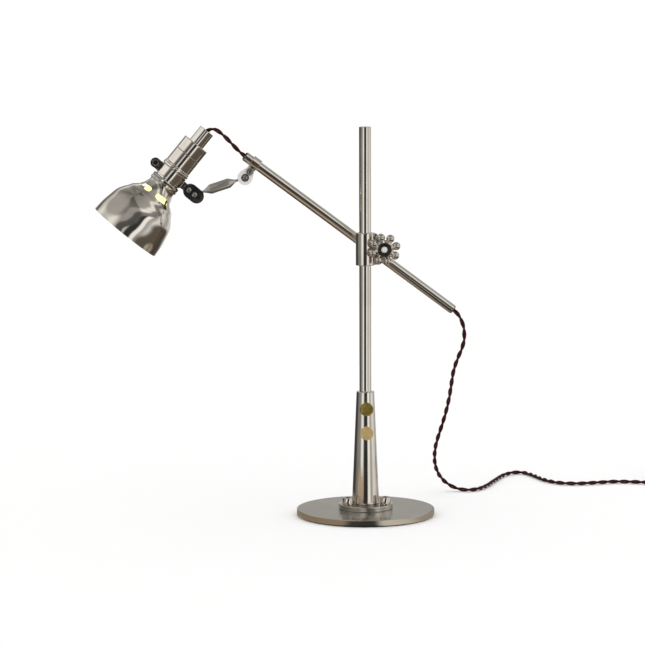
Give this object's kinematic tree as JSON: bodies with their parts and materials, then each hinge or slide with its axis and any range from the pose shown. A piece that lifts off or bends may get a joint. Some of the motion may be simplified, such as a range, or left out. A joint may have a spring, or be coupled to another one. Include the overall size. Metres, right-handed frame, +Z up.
{
  "type": "swing arm desk lamp",
  "caption": "Desk lamp with a round weighted base, tapered column, upright mast, clamped sliding arm and a small bell shade on a jointed link.",
  "frame": {"origin": "centre of the felt pad's underside, on the mast's axis", "axes": "+Z up along the mast; -Y is the front, where the buttons and the clamp knob face; -X is the side that the head reaches to"},
  "size_m": [0.8782, 0.3925, 0.523],
  "materials": {
    "polished_nickel": "polished nickel plate, mirror bright, warm grey",
    "satin_nickel": "fine satin nickel plate on a turned steel disc",
    "steel": "bright zinc-plated steel",
    "brass": "smooth lacquered brass, slightly aged",
    "black_metal": "satin black oxide",
    "felt": "dark pressed felt",
    "nylon": "natural nylon",
    "rubber": "black moulded rubber",
    "ceramic": "glazed off-white porcelain",
    "clear_glass": "clear blown glass, lit from within",
    "cord_cloth": "dark maroon braided cloth over a twisted pair",
    "plug_plastic": "dark brown moulded phenolic"
  },
  "bodies": {
    "stand": {"base_plate": "satin_nickel", "felt_pad": "felt", "hub_flange": "polished_nickel", "flange_bolt_1": "polished_nickel", "flange_bolt_2": "polished_nickel", "flange_bolt_3": "polished_nickel", "column": "polished_nickel", "column_bolt": "steel", "column_washer": "steel", "mast_tube": "polished_nickel", "upper_bush": "brass", "lower_bush": "brass", "upper_spring": "steel", "lower_spring": "steel", "mains_cord": "cord_cloth", "mains_coil": "cord_cloth", "plug_body": "plug_plastic", "plug_blade_left": "brass", "plug_blade_right": "brass"},
    "upper_button": {"upper_button": "brass"},
    "lower_button": {"lower_button": "brass"},
    "carriage": {"collar_liner": "nylon"},
    "collar": {"mast_collar": "polished_nickel", "clamp_bolt": "steel", "clamp_nut": "polished_nickel", "knob_washer": "steel"},
    "knob": {"knob_lobes": "polished_nickel", "knob_inlay": "black_metal", "knob_cap": "polished_nickel"},
    "arm_clamp": {"arm_clamp": "polished_nickel"},
    "arm": {"arm_tube": "polished_nickel", "arm_bush_left": "rubber", "arm_bush_right": "rubber", "arm_lead": "cord_cloth", "arm_ring": "polished_nickel", "ring_bolt": "steel", "head_lead": "cord_cloth"},
    "knuckle_a": {"knuckle_a_front": "polished_nickel", "knuckle_a_back": "polished_nickel", "knuckle_a_spacer": "steel", "link_screw": "steel"},
    "link": {"link_rod": "polished_nickel"},
    "knuckle_b": {"knuckle_b_front": "black_metal", "knuckle_b_back": "black_metal", "link_end_screw": "steel", "head_screw": "steel"},
    "head": {"band_clamp": "polished_nickel", "band_screw": "black_metal", "shade": "polished_nickel", "fitter_ring": "polished_nickel", "socket_shell": "polished_nickel", "socket_cap": "polished_nickel", "cord_tube": "polished_nickel", "tube_grommet": "rubber", "insulator": "ceramic", "screw_shell": "brass", "centre_contact": "brass", "bulb_base": "brass", "bulb_glass": "clear_glass", "bulb_mount": "clear_glass"}
  },
  "joints": [
    {"name": "upper_button_press", "type": "slide", "parent": "stand", "child": "upper_button", "axis": [0, 1, 0], "range_m": [0, 0.003], "stiffness_N_per_m": 500, "springref_m": -0.002, "deforming": ["upper_spring"]},
    {"name": "lower_button_press", "type": "slide", "parent": "stand", "child": "lower_button", "axis": [0, 1, 0], "range_m": [0, 0.003], "stiffness_N_per_m": 500, "springref_m": -0.002, "deforming": ["lower_spring"]},
    {"name": "collar_slide", "type": "slide", "parent": "stand", "child": "carriage", "axis": [0, 0, 1], "range_m": [-0.1, 0.12], "deforming": ["mains_cord"]},
    {"name": "collar_swivel", "type": "hinge", "parent": "carriage", "child": "collar", "pos_m": [0, 0, 0.359], "axis": [0, 0, 1], "range_deg": [-170, 170], "deforming": ["mains_cord"]},
    {"name": "knob_turn", "type": "hinge", "parent": "collar", "child": "knob", "pos_m": [0.024, 0, 0.3593], "axis": [0, 1, 0], "range_deg": [-180, 180]},
    {"name": "arm_tilt", "type": "hinge", "parent": "collar", "child": "arm_clamp", "pos_m": [0.024, 0, 0.3593], "axis": [0, 1, 0], "range_deg": [-45, 45], "deforming": ["mains_cord"]},
    {"name": "arm_slide", "type": "slide", "parent": "arm_clamp", "child": "arm", "axis": [0.8007, 0, -0.599], "range_m": [-0.08, 0.12], "deforming": ["mains_cord"]},
    {"name": "knuckle_a_tilt", "type": "hinge", "parent": "arm", "child": "knuckle_a", "pos_m": [-0.15221, 0.022, 0.46215], "axis": [0, 1, 0], "range_deg": [-30, 25], "deforming": ["head_lead"]},
    {"name": "link_tilt", "type": "hinge", "parent": "knuckle_a", "child": "link", "pos_m": [-0.1585, 0.022, 0.45374], "axis": [0, 1, 0], "range_deg": [-30, 25], "deforming": ["head_lead"]},
    {"name": "knuckle_b_tilt", "type": "hinge", "parent": "link", "child": "knuckle_b", "pos_m": [-0.2258, 0.022, 0.4318], "axis": [0, 1, 0], "range_deg": [-30, 15], "deforming": ["head_lead"]},
    {"name": "head_tilt", "type": "hinge", "parent": "knuckle_b", "child": "head", "pos_m": [-0.23322, 0.022, 0.43811], "axis": [0, 1, 0], "range_deg": [-45, 15], "deforming": ["head_lead"]}
  ]
}
